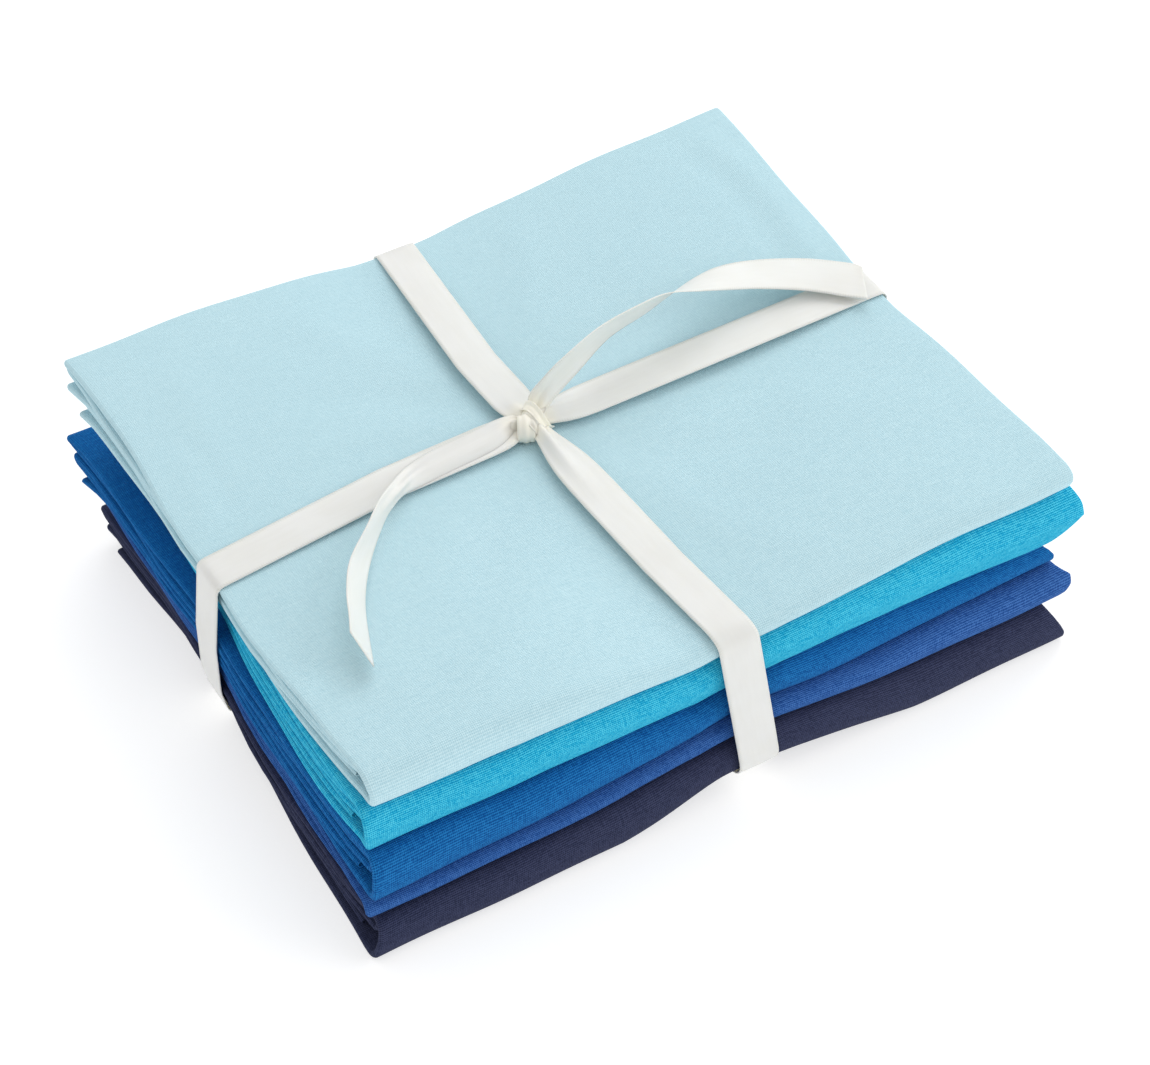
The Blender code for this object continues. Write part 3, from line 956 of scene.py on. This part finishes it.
    def grid(self) -> tuple[Array, Array]:
        """The folded sheet's points, and their places on the flat cloth.

        y goes from the back line to the front line along each run, and a turn adds half a circle. x
        goes from the left end to the right end along each ply, and a side fold adds half a circle.
        The level goes from 0 on the lowest ply to 1 on the top one, and the height is the mix of the
        stack's two surfaces by that level.

        Returns:
            Points in metres, rows by columns by three, and flat places, rows by columns by two.
        """
        rows = self._course()
        share, ply, bulge = self._columns()
        offset = (ply - 1) * self.ply
        below = 1 - (self.index + 0.5) / (len(LEVELS) - 1)
        front_left, front_right, back_left, back_right = (
            np.array(corner) * MM
            for corner in (self.front_left, self.front_right, self.back_left, self.back_right)
        )
        rough_x = front_left[0] + (front_right[0] - front_left[0]) * share
        from_band = rough_x - STACK.cross.middle(np.zeros(1), below)
        pull = self.waist * np.exp(-((from_band / self.waist_wide) ** 2))
        half = self.thick / 2
        wave = np.sin(rough_x / self.fold_wave_long + self.seed)
        wave = wave + 0.7 * np.sin(rough_x / self.fold_wave_short + 2.3 * self.seed)
        wave = wave * self.fold_wave
        front = front_left[1] + (front_right[1] - front_left[1]) * share + half + pull + wave
        back = back_left[1] + (back_right[1] - back_left[1]) * share - half - pull + 1.5 * wave
        y = (1 - rows.front_share) * (back - rows.back_in)
        y = y + rows.front_share * (front + rows.front_in)
        y = y + rows.reach + rows.reach_slope * offset
        tie = STACK.long.middle(rough_x, below)
        side = self.waist * np.exp(-(((y - tie) / self.waist_wide) ** 2)) + half + self.bulge
        along = (y - front_left[1]) / (back_left[1] - front_left[1])
        left_line = front_left[0] + (back_left[0] - front_left[0]) * along + side
        right_line = front_right[0] + (back_right[0] - front_right[0]) * along - side
        left = self._edge(self.left, 1.0, left_line, y, rows, (front, back))
        right = self._edge(self.right, -1.0, right_line, y, rows, (front, back))
        x = left + (right - left) * share + bulge
        lowest, highest = 1 - self.ply, 1 + PLIES * (RUNS - 1) + self.ply
        level = (rows.level + rows.level_slope * offset - lowest) / (highest - lowest)
        margin = (self.gap + self.thick) / 2
        low = STACK.height(self.index, x, y) + (half if self.index == 0 else margin)
        high = STACK.height(self.index + 1, x, y) - margin
        z = low + (high - low) * level
        points = np.stack([x, y, z], axis=-1)
        return points, self._flat_places(points)

    @staticmethod
    def _flat_places(points: Array) -> Array:
        """Places on the flat cloth: lengths along a middle row and a middle column of the grid.

        Args:
            points: The folded sheet's points.

        Returns:
            Two distances a point, in metres.
        """
        rows, columns = points.shape[:2]
        row = points[rows // 3]
        across = np.linalg.norm(np.diff(row, axis=0, prepend=row[:1]), axis=1)
        line = points[:, columns // 2]
        along = np.linalg.norm(np.diff(line, axis=0, prepend=line[:1]), axis=1)
        u, v = np.meshgrid(np.cumsum(across), np.cumsum(along))
        return np.stack([u, v], axis=-1)

    def build(self, rests_on: str) -> bpy.types.Object:
        """Makes the piece, dresses it, and ties it to its node.

        Args:
            rests_on: The name of what this cloth lies on. It is not used.

        Returns:
            The finished piece.
        """
        points, flat = self.grid()
        piece = sheet_object(self.name, [(points, flat, False)], self.thick)
        piece.data.materials.append(self.finish.material())
        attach(piece, ROOT)
        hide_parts("cloth_" + self.name)
        return piece


# Ribbon


@dataclass(frozen=True)
class Rung:
    """One line across a strip in mm: its two ends, and how far its middle bows outwards."""

    near: tuple[float, float, float]
    far: tuple[float, float, float]
    bow: float = 0.0


@dataclass(frozen=True)
class Strip:
    """A free strip of ribbon between two smooth edges that run through the ends of its rungs.

    Where it is narrower than the ribbon it is gathered, and its cross-section has pleats.
    """

    rungs: tuple[Rung, ...]
    pleats: float = 2.0
    pleat_deep: float = 0.10
    steps: int = 10
    columns: int = 15
    full: float = 10.5 * MM
    gathered_below: float = 0.85

    def _curve(self) -> Array:
        """Catmull-Rom curves through the rungs.

        Returns:
            For each step the near x, y and z, the far x, y and z, and the bow, in metres.
        """
        knots = np.array([(*r.near, *r.far, r.bow) for r in self.rungs]) * MM
        padded = np.concatenate([2 * knots[:1] - knots[1:2], knots, 2 * knots[-1:] - knots[-2:-1]])
        t = (np.arange(self.steps) / self.steps)[None, :, None]
        a, b, c, d = (padded[i : len(padded) - 3 + i, None] for i in range(4))
        curve = (2 * a - 5 * b + 4 * c - d) * t**2 + (3 * b - a - 3 * c + d) * t**3
        pieces = 0.5 * (2 * b + (c - a) * t + curve)
        return np.concatenate([pieces.reshape(-1, 7), knots[-1:]])

    def grid(self) -> tuple[Array, Array, bool]:
        """The strip's points and flat places.

        A point is its share of the way from the near edge to the far one, plus the bow and the
        pleats along the strip's normal. The bow is highest at a third of the way, and both are zero
        at the edges.

        Returns:
            Points, flat places in metres, and False, because a strip is open.
        """
        curve = self._curve()
        near, far, bow = curve[:, :3], curve[:, 3:6], curve[:, 6:]
        centre, wide = (near + far) / 2, far - near
        normal = np.cross(wide, np.gradient(centre, axis=0))
        normal /= np.linalg.norm(normal, axis=1, keepdims=True)
        share = np.linspace(0, 1, self.columns)
        narrow = np.linalg.norm(wide, axis=1, keepdims=True) / self.full
        gather = np.clip(1 - narrow / self.gathered_below, 0, 1) * self.full * self.pleat_deep
        pleat = np.cos(self.pleats * math.tau * share) * 4 * share * (1 - share)
        rise = bow * np.sin(math.pi * share**0.7) + gather * pleat
        points = near[:, None] + wide[:, None] * share[:, None] + normal[:, None] * rise[:, :, None]
        distance = np.cumsum(np.linalg.norm(np.diff(centre, axis=0, prepend=centre[:1]), axis=1))
        u, v = np.meshgrid(share * self.full, distance)
        return points, np.stack([u, v], axis=-1), False


@dataclass(frozen=True)
class Band:
    """One band of ribbon, taut round the whole stack and gathered under the knot.

    Its course is the taut outline of the cloths near it, which is the convex hull of their points
    seen along the band's width, held off by half a cloth, a hair of air and half a ribbon.
    """

    axis: Axis
    course: Course
    knot: float
    pinch_front: float
    pinch_back: float
    half: float = 5.25 * MM
    pinched: float = 2.1 * MM
    pinch_deep: float = 4.0 * MM
    camber: float = 0.10 * MM
    arch: float = 0.30
    pleat: float = 0.20
    hold_off: float = 0.74 * MM
    margin: float = 0.6 * MM
    step: float = 0.9 * MM
    columns: int = 13
    soften: int = 3

    def _outline(self, clouds: Sequence[Array]) -> Array:
        """The taut outline: the hull of the cloths' points, each widened to a small circle.

        Args:
            clouds: The points of each cloth, from the lowest up.

        Returns:
            Evenly spaced points (along, up) in metres, with the corners softened.
        """
        axis, other = self.axis.value, 1 - self.axis.value
        angles = np.arange(16) * math.tau / 16
        circle = self.hold_off * np.stack([np.cos(angles), np.sin(angles)], axis=1)
        spots = []
        for index, cloud in enumerate(clouds):
            share = 1 - (index + 0.5) / len(clouds)
            away = np.abs(cloud[:, other] - self.course.middle(cloud[:, axis], share))
            near = cloud[away < self.half + self.margin][:, [axis, 2]]
            first = geometry.convex_hull_2d([tuple(p) for p in near])
            spots.append((near[first][:, None] + circle).reshape(-1, 2))
        spots = np.concatenate(spots)
        hull = spots[geometry.convex_hull_2d([tuple(p) for p in spots])]
        around = np.concatenate([hull, hull[:1]])
        length = np.concatenate([[0], np.cumsum(np.linalg.norm(np.diff(around, axis=0), axis=1))])
        count = int(length[-1] / self.step)
        at = np.linspace(0, length[-1], count, endpoint=False)
        loop = np.stack([np.interp(at, length, around[:, k]) for k in (0, 1)], axis=1)
        kernel = range(-(self.soften // 2), self.soften // 2 + 1)
        return np.mean([np.roll(loop, k, axis=0) for k in kernel], axis=0)

    def _directions(self, centre: Array) -> tuple[Array, Array]:
        """The band's normal and its direction across, at every point of its middle line.

        The normal lies in the upright plane along the band, at right angles to the line's course.

        Args:
            centre: The middle line's points.

        Returns:
            The normals, which point outwards, and the directions across.
        """
        axis = self.axis.value
        along = np.roll(centre, -1, axis=0) - np.roll(centre, 1, axis=0)
        along /= np.linalg.norm(along, axis=1, keepdims=True)
        normal = np.zeros_like(along)
        normal[:, axis], normal[:, 2] = along[:, 2], -along[:, axis]
        outwards = np.sign(np.sum(normal * (centre - centre.mean(axis=0)), axis=1).mean())
        normal *= outwards / np.linalg.norm(normal, axis=1, keepdims=True)
        return normal, np.cross(normal, along)

    def grid(self, clouds: Sequence[Array]) -> tuple[Array, Array, bool]:
        """The band's points and flat places.

        Near the knot the half width shrinks as one minus an exponential of the squared distance, and
        the cross-section arches with a lengthwise pleat, so its length across stays the same.

        Args:
            clouds: The points of each cloth, from the lowest up.

        Returns:
            Points, flat places in metres, and True, because a band is closed.
        """
        axis, other = self.axis.value, 1 - self.axis.value
        loop = self._outline(clouds)
        top = loop[:, 1].max()
        middle = self.course.middle(loop[:, 0], np.clip(1 - loop[:, 1] / top, 0, 1))
        centre = np.empty((len(loop), 3))
        centre[:, axis], centre[:, other], centre[:, 2] = loop[:, 0], middle, loop[:, 1]
        normal, wide = self._directions(centre)
        away = loop[:, 0] - self.knot
        reach = np.where(away < 0, self.pinch_front, self.pinch_back)
        on_top = loop[:, 1] > top - self.pinch_deep
        free = np.where(on_top, 1 - np.exp(-((away / reach) ** 2)), 1.0)
        half = self.pinched + (self.half - self.pinched) * free
        across = np.linspace(-1, 1, self.columns)
        gather = np.sqrt(np.clip(1 - (half / self.half) ** 2, 0, 1))[:, None]
        pleat = self.pleat * np.cos(1.5 * math.pi * across + 0.8)
        rise = (self.camber + gather * self.half * (self.arch + pleat)) * (1 - across**2)
        points = centre[:, None] + wide[:, None] * (half[:, None] * across)[:, :, None]
        points = points + normal[:, None] * rise[:, :, None]
        steps = np.linalg.norm(np.diff(centre, axis=0, prepend=centre[:1]), axis=1)
        u, v = np.meshgrid((across + 1) * self.half, np.cumsum(steps))
        return points, np.stack([u, v], axis=-1), True


LEFT_TAIL = Strip(
    (
        Rung((-7.2, 3.9, 53.0), (-6.2, 6.3, 53.8), 0.4),
        Rung((-9.2, 4.3, 52.4), (-7.8, 9.0, 53.6), 1.1),
        Rung((-13.8, 2.3, 52.0), (-12.1, 10.2, 52.9), 1.8),
        Rung((-19.1, 1.3, 51.9), (-17.5, 9.8, 52.8), 1.7),
        Rung((-29.9, 0.6, 51.8), (-29.8, 9.0, 52.7), 1.4),
        Rung((-36.6, 0.2, 51.9), (-38.0, 6.6, 53.1), 1.2),
        Rung((-42.1, -0.2, 52.1), (-45.6, 0.2, 56.4), 1.0),
        Rung((-46.1, -2.6, 52.4), (-50.8, -4.4, 57.9), 0.6),
        Rung((-50.4, -6.3, 52.8), (-56.8, -10.6, 58.8), 0.3),
        Rung((-58.3, -15.4, 53.9), (-65.8, -19.4, 59.9)),
        Rung((-64.6, -24.4, 55.2), (-71.4, -28.6, 61.4)),
        Rung((-69.4, -33.5, 56.4), (-75.2, -37.2, 63.3)),
        Rung((-75.6, -49.0, 57.8), (-78.6, -44.6, 66.6)),
    )
)
RIGHT_TAIL = Strip(
    (
        Rung((-1.9, 2.8, 53.0), (-3.7, 4.8, 54.5), 0.3),
        Rung((-1.1, 5.1, 54.4), (-3.4, 9.0, 57.2), 0.8),
        Rung((4.5, 7.5, 56.5), (0.7, 7.8, 63.4), 0.8),
        Rung((10.8, 9.7, 58.4), (6.3, 8.0, 67.0), 0.5),
        Rung((22.1, 14.4, 60.4), (17.4, 10.7, 69.0)),
        Rung((33.7, 16.7, 61.2), (29.3, 12.1, 69.6)),
        Rung((42.5, 19.8, 60.8), (38.2, 13.7, 68.0)),
        Rung((52.3, 22.7, 60.4), (48.0, 13.7, 64.4)),
        Rung((60.0, 23.4, 60.0), (55.7, 13.9, 61.2)),
        Rung((69.1, 22.0, 58.9), (64.7, 12.5, 58.6)),
        Rung((80.6, 17.6, 57.6), (75.2, 8.4, 56.4)),
        Rung((89.4, 11.0, 57.2), (82.8, 2.4, 55.6)),
        Rung((91.4, 8.0, 57.3), (86.6, -1.7, 56.0)),
    )
)
KNOT_STRANDS = (
    Strip(
        (
            Rung((-10.2, 2.2, 51.8), (-6.6, 0.1, 51.8), 0.3),
            Rung((-10.3, 2.0, 53.6), (-6.7, -0.1, 53.6), 0.5),
            Rung((-9.7, 3.1, 55.3), (-6.1, 1.0, 55.4), 0.6),
            Rung((-8.9, 4.6, 55.9), (-5.3, 2.5, 56.2), 0.6),
            Rung((-8.1, 6.2, 55.2), (-4.5, 4.1, 55.8), 0.5),
            Rung((-7.4, 7.6, 53.2), (-3.8, 5.5, 54.2), 0.3),
        ),
        pleats=2.0,
        pleat_deep=0.03,
    ),
    Strip(
        (
            Rung((-8.3, 6.6, 53.2), (-6.2, 8.2, 53.6), 0.3),
            Rung((-8.0, 4.9, 55.6), (-5.8, 6.2, 56.2), 0.4),
            Rung((-7.7, 3.1, 56.2), (-5.5, 4.3, 56.9), 0.4),
            Rung((-7.0, 0.8, 55.6), (-4.8, 1.7, 56.3), 0.4),
            Rung((-5.8, -0.4, 53.2), (-3.2, 0.3, 53.8), 0.3),
            Rung((-5.2, -1.4, 51.8), (-2.2, -0.8, 52.0), 0.2),
        ),
        pleats=1.5,
        pleat_deep=0.02,
    ),
    Strip(
        (
            Rung((-6.4, 9.0, 52.4), (-4.0, 9.8, 52.8), 0.3),
            Rung((-6.2, 8.2, 55.0), (-3.9, 9.0, 56.2), 0.4),
            Rung((-5.9, 6.0, 56.8), (-3.7, 6.6, 58.0), 0.4),
            Rung((-5.6, 3.6, 57.0), (-3.3, 4.0, 58.0), 0.4),
            Rung((-5.2, 1.4, 55.8), (-2.7, 2.2, 56.4), 0.4),
            Rung((-4.0, 0.6, 53.2), (-1.4, 1.6, 53.4), 0.3),
            Rung((-2.4, 0.9, 51.8), (0.0, 2.4, 51.8), 0.2),
        ),
        pleats=1.5,
        pleat_deep=0.02,
    ),
)


@dataclass(frozen=True)
class Ribbon:
    """The whole ribbon: two bands, two tails and the strands of the knot."""

    finish: SatinFinish
    cross: Band
    long: Band
    tails: tuple[Strip, ...] = (LEFT_TAIL, RIGHT_TAIL)
    knot: tuple[Strip, ...] = KNOT_STRANDS
    name: str = "satin_ribbon"
    thick: float = 0.28 * MM
    wide: float = 10.5 * MM

    def build(self, cloths: Sequence[bpy.types.Object], rests_on: str) -> bpy.types.Object:
        """Makes the ribbon round the finished cloths and ties it to its node.

        Args:
            cloths: The cloths, from the lowest up.
            rests_on: The name of the cloth that it lies on. It is not used.

        Returns:
            The finished piece.
        """
        clouds = [points_of(cloth) for cloth in cloths]
        grids = [self.cross.grid(clouds), self.long.grid(clouds)]
        grids += [strip.grid() for strip in (*self.tails, *self.knot)]
        piece = sheet_object(self.name, grids, self.thick)
        piece.data.materials.append(self.finish.material())
        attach(piece, ROOT)
        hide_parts("ribbon")
        return piece


def points_of(piece: bpy.types.Object) -> Array:
    """A mesh's own points.

    Args:
        piece: The object, at the origin.

    Returns:
        Rows of x, y and z in metres.
    """
    flat = np.empty(len(piece.data.vertices) * 3, np.float32)
    piece.data.vertices.foreach_get("co", flat)
    return flat.reshape(-1, 3).astype(float)


# Studio


@dataclass(frozen=True)
class Lamp:
    """One square lamp that faces the bundle: its place and side in metres and its power in watts."""

    name: str
    place: tuple[float, float, float]
    side: float
    power: float

    def light(self) -> None:
        """Adds the lamp to the scene."""
        data = bpy.data.lights.new(self.name, "AREA")
        data.size = self.side
        data.energy = self.power
        lamp = bpy.data.objects.new(self.name, data)
        lamp.location = self.place
        lamp.rotation_mode = "QUATERNION"
        lamp.rotation_quaternion = Vector(self.place).to_track_quat("Z", "Y")
        bpy.context.scene.collection.objects.link(lamp)


@dataclass(frozen=True)
class Studio:
    """The camera at the photograph's angle, a pale floor and soft light."""

    elevation: float = 45.305
    azimuth: float = -30.584
    distance: float = 0.80659
    target: tuple[float, float, float] = (12.114 * MM, 13.430 * MM, 0.0)
    focal: float = 3200.0
    image_wide: float = 1150.0
    sensor: float = 36.0
    floor: tuple[float, float, float] = (0.60, 0.60, 0.60)
    floor_glow: float = 0.58
    floor_half: float = 3.0
    sky_glow: float = 0.76
    lamps: tuple[Lamp, ...] = (
        Lamp("key", (0.75, 0.85, 1.25), 1.3, 9.5),
        Lamp("fill", (1.25, -0.8, 0.8), 1.3, 8.5),
    )

    def _back(self) -> Vector:
        """The direction from the object to the camera."""
        a, e = math.radians(self.azimuth), math.radians(self.elevation)
        return Vector((math.sin(a) * math.cos(e), -math.cos(a) * math.cos(e), math.sin(e)))

    def camera(self) -> bpy.types.Object:
        """Makes the scene's camera.

        Returns:
            The camera object.
        """
        data = bpy.data.cameras.new("camera")
        data.sensor_width = self.sensor
        data.lens = self.focal / self.image_wide * self.sensor
        data.clip_start, data.clip_end = 0.05, 20.0
        camera = bpy.data.objects.new("camera", data)
        camera.location = Vector(self.target) + self._back() * self.distance
        camera.rotation_mode = "QUATERNION"
        camera.rotation_quaternion = self._back().to_track_quat("Z", "Y")
        bpy.context.scene.collection.objects.link(camera)
        bpy.context.scene.camera = camera
        return camera

    def ground(self) -> bpy.types.Object:
        """Makes the pale floor.

        Returns:
            The floor object.
        """
        size = self.floor_half
        mesh = bpy.data.meshes.new("floor")
        square = [(-size, -size, 0), (size, -size, 0), (size, size, 0), (-size, size, 0)]
        mesh.from_pydata(square, [], [(0, 1, 2, 3)])
        floor = bpy.data.objects.new("floor", mesh)
        graph = Graph("floor")
        inputs = {
            "Base Color": rgba(self.floor),
            "Roughness": 0.9,
            "Specular IOR Level": 0.1,
            "Emission Color": (1.0, 1.0, 1.0, 1.0),
            "Emission Strength": self.floor_glow,
        }
        mesh.materials.append(graph.surface(inputs))
        bpy.context.scene.collection.objects.link(floor)
        return floor

    def light(self) -> None:
        """Adds a bright even sky and the lamps at the right."""
        world = bpy.data.worlds.new("sky")
        world.use_nodes = True
        sky = world.node_tree.nodes["Background"].inputs
        sky["Color"].default_value = (1.0, 1.0, 1.0, 1.0)
        sky["Strength"].default_value = self.sky_glow
        bpy.context.scene.world = world
        for lamp in self.lamps:
            lamp.light()


# The pieces


CLOTHS = (
    FoldedCloth(
        "navy",
        0,
        CottonFinish("navy_cotton", (0.029, 0.035, 0.078), (0.048, 0.056, 0.115), (0.016, 0.020, 0.050)),
        (-95.6, -81.2),
        (96.0, -80.2),
        (-90.4, 73.5),
        (93.0, 75.0),
        Ends((1.4, 1.2, 0.8, 0.6, 0.0), (0.5, 0.9, 1.5, 2.2, 3.0), 0.6, 1.6),
        Ends((0.8, 0.6, 0.4, 0.8, 1.6), (-0.6, 0.6, 2.4, 4.4, 6.5)),
        1,
        wrap_square=0.52,
    ),
    FoldedCloth(
        "royal",
        1,
        CottonFinish("royal_cotton", (0.024, 0.103, 0.34), (0.055, 0.165, 0.46), (0.010, 0.056, 0.23)),
        (-95.0, -78.0),
        (95.2, -80.0),
        (-90.8, 74.0),
        (92.5, 77.5),
        Ends((1.6, 0.8, 0.4, 0.4, 0.8), (1.8, 0.8, 0.3, 0.3, 0.6)),
        Ends((2.4, 1.2, 0.6, 0.8, 1.4), (6.0, 0.9, 0.0, 0.2, 3.4)),
        2,
    ),
    FoldedCloth(
        "mid_blue",
        2,
        CottonFinish("mid_blue_cotton", (0.004, 0.118, 0.37), (0.016, 0.190, 0.50), (0.002, 0.066, 0.25)),
        (-94.6, -79.2),
        (91.0, -77.6),
        (-93.2, 80.2),
        (91.5, 78.5),
        Ends((0.6, 0.3, 0.3, 0.3, 0.5), (1.5, 1.2, 1.2, 1.6, 2.2), 1.2),
        Ends((0.8, 0.6, 0.4, 0.6, 1.2), (-0.4, 0.0, 0.4, 1.6, 3.6)),
        3,
    ),
    FoldedCloth(
        "turquoise",
        3,
        CottonFinish("turquoise_cotton", (0.014, 0.43, 0.67), (0.085, 0.60, 0.80), (0.002, 0.27, 0.52)),
        (-96.6, -77.0),
        (96.2, -79.2),
        (-84.5, 75.5),
        (93.5, 76.5),
        Ends((0.3, 0.2, 0.2, 0.4, 0.8), (4.0, 3.4, 3.2, 3.2, 3.4)),
        Ends((2.2, 0.6, 0.2, 0.4, 1.2), (11.0, 5.4, 0.0, 0.8, 2.6)),
        4,
    ),
    FoldedCloth(
        "pale_blue",
        4,
        CottonFinish(
            "pale_blue_cotton", (0.505, 0.72, 0.79), (0.57, 0.78, 0.84), (0.43, 0.65, 0.73), tone=1.1
        ),
        (-94.2, -77.4),
        (93.6, -78.2),
        (-92.2, 78.4),
        (94.8, 80.6),
        Ends((1.2, 0.9, 0.6, 0.4, 0.3), (3.2, 2.8, 2.6, 2.2, 2.0), 1.3, 0.8),
        Ends((2.2, 1.2, 0.8, 0.4, 0.2), (3.6, 2.2, 1.4, 1.2, 1.2)),
        5,
    ),
)
RIBBON = Ribbon(
    SatinFinish("cream_satin"),
    Band(Axis.CROSS, CROSS_COURSE, 4.4 * MM, 12.0 * MM, 4.8 * MM),
    Band(Axis.LONG, LONG_COURSE, -5.2 * MM, 5.0 * MM, 7.8 * MM),
)


def main() -> None:
    """Builds the studio, the cloths from the lowest up, and the ribbon round them."""
    logging.basicConfig(level=logging.INFO, format="%(name)s: %(message)s")
    studio = Studio()
    studio.camera()
    studio.light()
    below = studio.ground().name
    bpy.context.scene.view_settings.view_transform = "Standard"
    built = []
    for cloth in CLOTHS:
        built.append(cloth.build(below))
        below = built[-1].name
        LOG.info("%s: %d faces", below, len(built[-1].data.polygons))
    ribbon = RIBBON.build(built, below)
    LOG.info("%s: %d faces", ribbon.name, len(ribbon.data.polygons))


if __name__ == "__main__":
    main()
